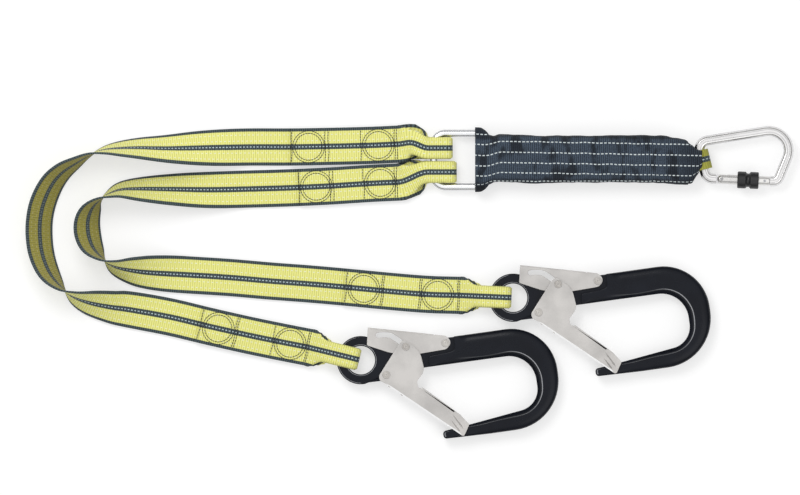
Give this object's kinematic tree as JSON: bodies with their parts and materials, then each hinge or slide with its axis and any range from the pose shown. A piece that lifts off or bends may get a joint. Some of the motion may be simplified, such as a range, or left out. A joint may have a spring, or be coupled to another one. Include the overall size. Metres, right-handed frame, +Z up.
{
  "type": "twin shock absorbing lanyard",
  "caption": "Twin-leg webbing lanyard with a packed energy absorber, a connecting ring, a screw-gate karabiner and a large self-locking hook on each leg.",
  "frame": {"origin": "on the surface that the lanyard lies on, under the middle of the absorber pouch", "axes": "+X along the pouch from the ring to the karabiner, the longest way across the part without its legs; +Z up from the surface; the legs and hooks lie on the -Y side"},
  "size_m": [0.8446, 0.3442, 0.041],
  "materials": {
    "leg_webbing": "yellow polyester webbing with dark edges",
    "cover_webbing": "dark navy tubular webbing with white marker threads",
    "tear_webbing": "plain tear webbing",
    "forged_aluminium": "black anodised forging",
    "pressed_steel": "pressed and plated sheet",
    "rivet_steel": "turned rivets and pins",
    "ring_steel": "polished plated steel",
    "karabiner_aluminium": "polished alloy",
    "black_sleeve": "black anodised, knurled",
    "spring_steel": "drawn wire"
  },
  "bodies": {
    "webbing_and_absorber": {"outer_leg_webbing": "leg_webbing", "inner_leg_webbing": "leg_webbing", "connecting_ring": "ring_steel", "absorber_cover": "cover_webbing", "tear_webbing_pack": "tear_webbing", "absorber_ring_loop": "tear_webbing", "absorber_karabiner_loop": "leg_webbing"},
    "karabiner": {"karabiner_frame": "karabiner_aluminium", "karabiner_hinge_pin": "rivet_steel"},
    "karabiner_gate_group": {"karabiner_gate": "karabiner_aluminium", "karabiner_latch_pin": "rivet_steel", "karabiner_gate_spring": "spring_steel", "karabiner_gate_pusher": "spring_steel"},
    "karabiner_sleeve": {"karabiner_screw_sleeve": "black_sleeve"},
    "inner_hook": {"inner_hook_body": "forged_aluminium", "inner_hook_gate_rivet": "rivet_steel", "inner_hook_lever_rivet": "rivet_steel", "inner_hook_gate_spring": "spring_steel"},
    "inner_gate": {"inner_hook_gate": "pressed_steel", "inner_hook_link_pin": "rivet_steel"},
    "inner_lever": {"inner_hook_lock_lever": "pressed_steel"},
    "outer_hook": {"outer_hook_body": "forged_aluminium", "outer_hook_gate_rivet": "rivet_steel", "outer_hook_lever_rivet": "rivet_steel", "outer_hook_gate_spring": "spring_steel"},
    "outer_gate": {"outer_hook_gate": "pressed_steel", "outer_hook_link_pin": "rivet_steel"},
    "outer_lever": {"outer_hook_lock_lever": "pressed_steel"}
  },
  "joints": [
    {"name": "karabiner_swing", "type": "hinge", "parent": "webbing_and_absorber", "child": "karabiner", "pos_m": [0.12194, 0, 0.0115], "axis": [0.242, -0.9703, 0], "range_deg": [0, 90]},
    {"name": "karabiner_gate_open", "type": "hinge", "parent": "karabiner", "child": "karabiner_gate_group", "pos_m": [0.1438, -0.021, 0.0115], "axis": [0, 0, 1], "range_deg": [0, 26], "stiffness_Nm_per_rad": 0.05, "springref_deg": -14.32},
    {"name": "karabiner_sleeve_slide", "type": "slide", "parent": "karabiner_gate_group", "child": "karabiner_sleeve", "axis": [0.9991, -0.0423, 0], "range_m": [0, 0.009]},
    {"name": "inner_hook_turn", "type": "hinge", "parent": "webbing_and_absorber", "child": "inner_hook", "pos_m": [-0.0857, -0.1515, 0.0095], "axis": [0, 0, 1], "range_deg": [0, 20]},
    {"name": "inner_hook_gate_open", "type": "hinge", "parent": "inner_hook", "child": "inner_gate", "pos_m": [-0.05758, -0.16764, 0.0095], "axis": [0, 0, 1], "range_deg": [0, 28], "stiffness_Nm_per_rad": 0.15, "springref_deg": -17.19},
    {"name": "inner_hook_lever_press", "type": "hinge", "parent": "inner_hook", "child": "inner_lever", "pos_m": [0.0073, -0.13277, 0.0095], "axis": [0, 0, 1], "range_deg": [0, 5.6]},
    {"name": "outer_hook_turn", "type": "hinge", "parent": "webbing_and_absorber", "child": "outer_hook", "pos_m": [-0.2532, -0.2202, 0.0095], "axis": [0, 0, 1], "range_deg": [-35, 0]},
    {"name": "outer_hook_gate_open", "type": "hinge", "parent": "outer_hook", "child": "outer_gate", "pos_m": [-0.22508, -0.23634, 0.0095], "axis": [0, 0, 1], "range_deg": [0, 28], "stiffness_Nm_per_rad": 0.15, "springref_deg": -17.19},
    {"name": "outer_hook_lever_press", "type": "hinge", "parent": "outer_hook", "child": "outer_lever", "pos_m": [-0.1602, -0.20147, 0.0095], "axis": [0, 0, 1], "range_deg": [0, 5.6]}
  ],
  "couplings": [
    {"joint": "inner_hook_lever_press", "follows": "inner_hook_gate_open", "ratio": 0.19642},
    {"joint": "outer_hook_lever_press", "follows": "outer_hook_gate_open", "ratio": 0.19642}
  ]
}
